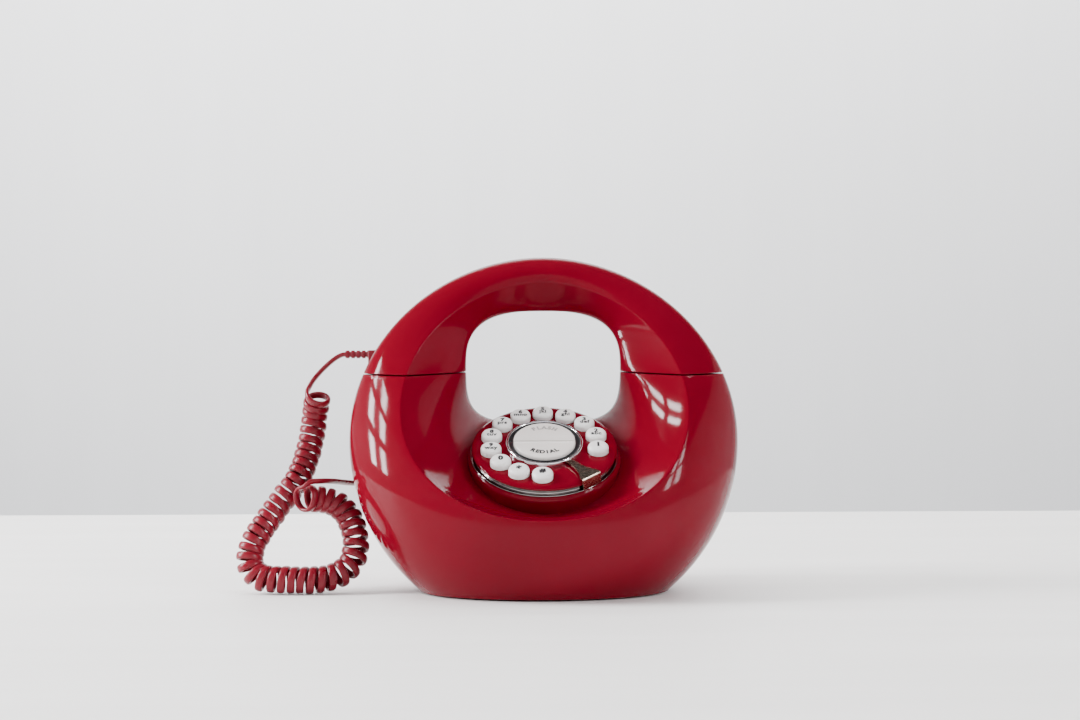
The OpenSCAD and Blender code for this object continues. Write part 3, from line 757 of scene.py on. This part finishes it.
KEY_TOP = 4.20
BUTTON_TOP = 4.21
LETTER_WEIGHT = 0.055      # the strokes' extra width, as a share of the letters' size


def lettering(name, text, size, x, y, z, material, matrix, parent, turn=0.0, weight=LETTER_WEIGHT):
    """Printed letters centred at (x, y, z) millimetres, with their size in millimetres too."""
    curve = bpy.data.curves.new(name, "FONT")
    curve.body = text
    curve.size = size * MM
    curve.extrude = 0.00004
    curve.align_x = "CENTER"
    curve.align_y = "CENTER"
    curve.resolution_u = 4
    curve.space_character = 1.1
    curve.offset = weight * size * MM
    source = linked(name, curve)
    bpy.context.view_layer.update()
    depsgraph = bpy.context.evaluated_depsgraph_get()
    mesh = bpy.data.meshes.new_from_object(source.evaluated_get(depsgraph))
    bpy.data.objects.remove(source)
    obj = linked(name, mesh)
    place = Matrix.Translation((x * MM, y * MM, z * MM))
    mesh.transform(matrix @ place @ Matrix.Rotation(turn, 4, "Z"))
    mesh.materials.clear()
    mesh.materials.append(material)
    obj.parent = parent


KEY_PROFILE = ([(0, 4.2), (2.2, 4.19), (3.4, 4.13)] + arc(3.9, 1.92, 2.2, 76, 6, 10)
               + [(6.1, 1.2), (6.12, -2.3), (6.85, -2.3), (6.85, -3.4), (0, -3.4)])


def build_key(i, digit, letters):
    name = "key_" + SIGN_NAMES.get(digit, digit)
    place = key_place(i)
    key = lathe(name + "_cap", KEY_PROFILE, WHITE, 72, place, 40)
    solo(key, name, name)
    size, y, weight = (4.4, 1.3, LETTER_WEIGHT) if letters else (5.2, 0.6, 0.075)
    if digit == "*":
        size, y, weight = 8.0, -1.1, 0.022
    lettering(name + "_digit", digit, size, 0, y, KEY_TOP, INK, place, key, weight=weight)
    if letters:
        lettering(name + "_letters", letters, 4.1, 0, -1.6, KEY_TOP, INK, place, key, weight=0.04)


for number, (digit, letters) in enumerate(LABELS):
    build_key(number, digit, letters)


# the half button's outline from its foot to its middle, as (radius, height)
HALF_PROFILE = [(18.3, -2.4), (18.3, 3.0), (18.15, 3.6), (17.7, 4.0), (17.0, 4.2), (13, 4.2),
                (9, 4.2), (5, 4.2), (2, 4.2)]
HALF_GAP = 0.28
DIP, DIP_WIDTH = 0.9, 2.1


def half_button(name, side, node, steps=60):
    """Half of the round button in the middle, which dips towards the line between the halves."""
    vertices, faces, rows = [], [], []
    for r, z in HALF_PROFILE:
        row = []
        start = math.asin(HALF_GAP / r)
        for k in range(steps + 1):
            a = start + (math.pi - 2 * start) * k / steps
            x, y = r * math.cos(a), r * math.sin(a)
            dip = DIP * math.exp(-((y - HALF_GAP) / DIP_WIDTH) ** 2) if z > 2 else 0
            row.append(len(vertices))
            vertices.append((x * MM, side * y * MM, (z - dip) * MM))
        rows.append(row)
    for i in range(len(rows) - 1):
        for k in range(steps):
            faces.append((rows[i][k], rows[i][k + 1], rows[i + 1][k + 1], rows[i + 1][k]))
    faces.append(tuple(rows[-1]))
    # the straight side and the underside
    faces.append(tuple([r[0] for r in rows] + [r[-1] for r in reversed(rows)]))
    faces.append(tuple(reversed(rows[0])))
    obj = as_object(name, vertices, faces, CREAM, 40, DIAL)
    return solo(obj, node, node)


upper_half = half_button("flash_button_cap", 1, "flash_button")
lower_half = half_button("redial_button_cap", -1, "redial_button")


def arched_text(text, radius, middle, step, material, parent, name, size=4.3):
    """Upright letters along an arc: middle is its angle and step the angle between letters."""
    for k, letter in enumerate(text):
        a = math.radians(middle + (k - (len(text) - 1) / 2) * step)
        turn = a - math.radians(90 if middle > 0 else -90)
        lettering(f"{name}_{k}", letter, size, radius * math.cos(a), radius * math.sin(a),
                  BUTTON_TOP, material, DIAL, parent, turn)


arched_text("FLASH", 12.6, 90, -14.5, FAINT_INK, upper_half, "flash_word")
arched_text("REDIAL", 12.8, -90, 13.0, INK, lower_half, "redial_word")

polished = lathe("centre_ring_polished", [(21.2, -0.05), (21.2, 2.3)]
                 + arc(21.95, 2.3, 0.75, 165, 10, 9) + [(22.85, 0.9), (22.85, -0.05)], CHROME)
solo(polished, "centre_ring", "base")
bezel = lathe("centre_bezel_black", [(18.5, -2.2), (21.18, -2.2), (21.18, 2.3), (20.6, 2.0),
                                     (19.9, 1.75), (19.2, 1.8), (18.7, 2.2), (18.5, 2.1)], BLACK)
solo(bezel, "centre_bezel", "base")


# the finger stop's outer face from the ring to its folded end, as (distance, height)
STOP_LINE = ([(22.7, 2.3), (25, 2.45), (28, 2.5), (31, 2.5), (34, 2.5), (36.5, 2.45), (38.8, 2.4),
              (40.8, 2.3)] + arc(41.7, 0.75, 1.55, 78, 8, 6)
             + [(43.6, -0.8), (43.9, -2.2), (44.05, -3.4), (44.1, -4.6)])
STOP_FOLD = 7          # the point of the line where the fold starts
STOP_ACROSS = [-1, -0.96, -0.6, -0.2, 0.2, 0.6, 0.96, 1]
STOP_THICK = 1.0
STOP_ANGLE = -52


def build_stop():
    """The finger stop: a metal strip that widens from the ring and folds down over the rim."""
    line = np.array(STOP_LINE)
    s = lengths(line)
    fold = s[STOP_FOLD]
    along = unit(np.gradient(line, axis=0))
    vertices, faces = [], []
    for layer in (0, 1):
        for point, (dx, dz), a in zip(line, along, s):
            half_width = (1.9 + 4.5 * min(1, a / fold) ** 2.6
                          + 0.35 * math.exp(-((a - fold) / 3.0) ** 2))
            for c in STOP_ACROSS:
                crown = -0.12 * abs(c) ** 8
                x, z = point + np.array([-dz, dx]) * (crown - STOP_THICK * layer)
                vertices.append((x * MM, c * half_width * MM, z * MM))
    n, m = len(line), len(STOP_ACROSS)

    def grid(layer, i, j):
        return (layer * n + i) * m + j

    for i in range(n - 1):
        for j in range(m - 1):
            faces.append((grid(0, i, j), grid(0, i, j + 1), grid(0, i + 1, j + 1), grid(0, i + 1, j)))
            faces.append((grid(1, i, j), grid(1, i + 1, j), grid(1, i + 1, j + 1), grid(1, i, j + 1)))
        for j in (0, m - 1):
            faces.append((grid(0, i, j), grid(0, i + 1, j), grid(1, i + 1, j), grid(1, i, j)))
    for i in (0, n - 1):
        for j in range(m - 1):
            faces.append((grid(0, i, j), grid(1, i, j), grid(1, i, j + 1), grid(0, i, j + 1)))
    place = DIAL @ Matrix.Rotation(math.radians(STOP_ANGLE), 4, "Z")
    obj = as_object("finger_stop_strip", vertices, faces, NICKEL, 40, place)
    solo(obj, "finger_stop", "base")


build_stop()


# ---- boot on the handset's end of the cord ----

BOOT_LEFT, BOOT_RIGHT, BOOT_Y, BOOT_Z = -122.1, -105.0, 24, 142.6
BOOT_RIBS, RIB_STEP = 5, 3.3
# one rib and the notch after it, as (distance from the rib's start, share of the full size)
RIB = ((0, 0.93), (0.35, 1.0), (1.7, 1.0), (2.05, 0.93))
NOTCH = ((2.25, 0.68), (3.05, 0.68))
BOOT_SQUARE = 0.55     # how square the section is: 1 would be an oval


def build_boot():
    """A moulded strain relief with notches, and the tab that holds it in the handset's end."""
    rows = [(BOOT_LEFT, 0.8)]
    for k in range(BOOT_RIBS):
        start = BOOT_LEFT + 0.4 + k * RIB_STEP
        rows += [(start + x, share) for x, share in RIB + (NOTCH if k < BOOT_RIBS - 1 else ())]
    rows.append((BOOT_RIGHT, 0.95))
    vertices, faces = [], []
    sides = 28
    for x, share in rows:
        for j in range(sides):
            a = 2 * math.pi * j / sides
            c, s = math.cos(a), math.sin(a)
            y = math.copysign(abs(c) ** BOOT_SQUARE, c) * 2.5 * (0.5 + 0.5 * share)
            z = math.copysign(abs(s) ** BOOT_SQUARE, s) * 2.45 * share
            vertices.append((x * MM, (BOOT_Y + y) * MM, (BOOT_Z + z) * MM))
    for i in range(len(rows) - 1):
        for j in range(sides):
            k = (j + 1) % sides
            faces.append((i * sides + j, i * sides + k, (i + 1) * sides + k, (i + 1) * sides + j))
    faces.append(tuple(range(sides)))
    faces.append(tuple((len(rows) - 1) * sides + j for j in range(sides)))
    boot = as_object("strain_relief", vertices, faces, RED_CORD, 40)
    solo(boot, "cord_boot", "handset")
    tab = bmesh.new()
    bmesh.ops.create_cube(tab, size=1)
    bmesh.ops.scale(tab, vec=(6.9 * MM, 8 * MM, 12.0 * MM), verts=tab.verts)
    bmesh.ops.translate(tab, vec=(-104.45 * MM, BOOT_Y * MM, 139.1 * MM), verts=tab.verts)
    bmesh.ops.bevel(tab, geom=tab.edges[:], offset=0.8 * MM, segments=4, profile=0.5,
                    affect="EDGES")
    obj = from_bmesh("boot_tab", tab)
    finish_mesh(obj, RED_CORD, 40)
    obj.parent = boot


build_boot()


# ---- materials of the pieces that stay as designed ----

def paint(material, *names):
    for name in names:
        node = NODES[name]
        node.data.materials.clear()
        node.data.materials.append(material)


paint(RED, "earpiece_cover", "mouthpiece_cover")
paint(WHITE, "hook_plunger", "ringer_switch", "tone_switch")
paint(BLACK, "bottom_plate", "hook_switch", "handset_jack", "line_jack", "receiver", "microphone",
      "ringer")
paint(DARK_RUBBER, "rubber_feet", "cradle_pads")
paint(STEEL, "bottom_screws", "rear_screws", "key_board_screws", "main_board_screws", "handset_screws",
      "hook_spring", "switch_cases", "ballast_plate", "handset_weight")
paint(SILICONE, "key_membrane", "ribbon_cable")
paint(BOARD, "key_board", "main_board")
paint(WIRES, "handset_wires")
paint(CLEAR, "cord_plug")


# ---- room and light ----

def plane(name, corners, material):
    as_object(name, corners, [(0, 1, 2, 3)], material)


def pale(name, dark, light, roughness, stretch):
    material, shader = principled(name, light, roughness)
    ramp_color(material, shader, noise(material, 3, 6, 0.6, stretch), dark, light)
    return material


FLOOR = pale("pale_floor", (0.82, 0.80, 0.78), (0.88, 0.86, 0.84), 0.55, (0.6, 6, 1))
WALL = pale("pale_wall", (0.88, 0.88, 0.89), (0.91, 0.91, 0.92), 0.8, (4, 1, 0.4))
TABLE_X, TABLE_FRONT, TABLE_BACK = 3.0, -0.60, 0.63
plane("floor", [(-TABLE_X, TABLE_FRONT, 0), (TABLE_X, TABLE_FRONT, 0),
                (TABLE_X, TABLE_BACK, 0), (-TABLE_X, TABLE_BACK, 0)], FLOOR)
# the room's walls stand well away from the table, all round it
LOW, HIGH, NEAR, FAR, SIDE = -1.6, 2.4, -2.6, 1.6, 3.0
CORNERS = [(-SIDE, NEAR), (SIDE, NEAR), (SIDE, FAR), (-SIDE, FAR)]
for number, (a, b) in enumerate(zip(CORNERS, CORNERS[1:] + CORNERS[:1])):
    plane(f"wall_{number}", [(*a, LOW), (*b, LOW), (*b, HIGH), (*a, HIGH)], WALL)


def area_light(name, place, aim, width, height, power, color=(1, 1, 1)):
    data = bpy.data.lights.new(name, "AREA")
    data.shape = "RECTANGLE"
    data.size = width
    data.size_y = height
    data.energy = power
    data.color = color
    obj = linked(name, data)
    direction = Vector(aim) - Vector(place)
    obj.rotation_euler = direction.to_track_quat("-Z", "Y").to_euler()
    obj.location = place
    obj.visible_camera = False
    return obj


world = bpy.data.worlds.new("world")
world.use_nodes = True
sky = world.node_tree.nodes["Background"]
sky.inputs["Color"].default_value = (0.93, 0.96, 1.0, 1)
sky.inputs["Strength"].default_value = 0.13
bpy.context.scene.world = world


DAYLIGHT = (0.97, 0.98, 1.0)
PANES_Y, PANES_Z, PANE_H = 2, 3, 0.36


def window(name, x, y, low, pane_w, bar, power):
    """A tall window beside the phone, as a grid of lit panes with bars between them."""
    for i in range(PANES_Y):
        for k in range(PANES_Z):
            place = (x, y + (i - (PANES_Y - 1) / 2) * (pane_w + bar),
                     low + PANE_H / 2 + k * (PANE_H + bar))
            area_light(f"{name}_{i}_{k}", place, (0, place[1], place[2]), pane_w, PANE_H, power,
                       DAYLIGHT)


ceiling = area_light("ceiling", (0, 0.05, 2.3), (0, 0, 0), 3.0, 1.2, 46)
ceiling.visible_glossy = False
wall_wash = area_light("wall_wash", (0, 1.0, 1.6), (0, 1.6, 0.4), 3.6, 0.3, 55)
wall_wash.visible_glossy = False
window("window_left", -1.5, -0.05, 0.25, 0.13, 0.15, 15.0)
window("window_right", 1.3, -0.95, 0.45, 0.12, 0.10, 5.0)
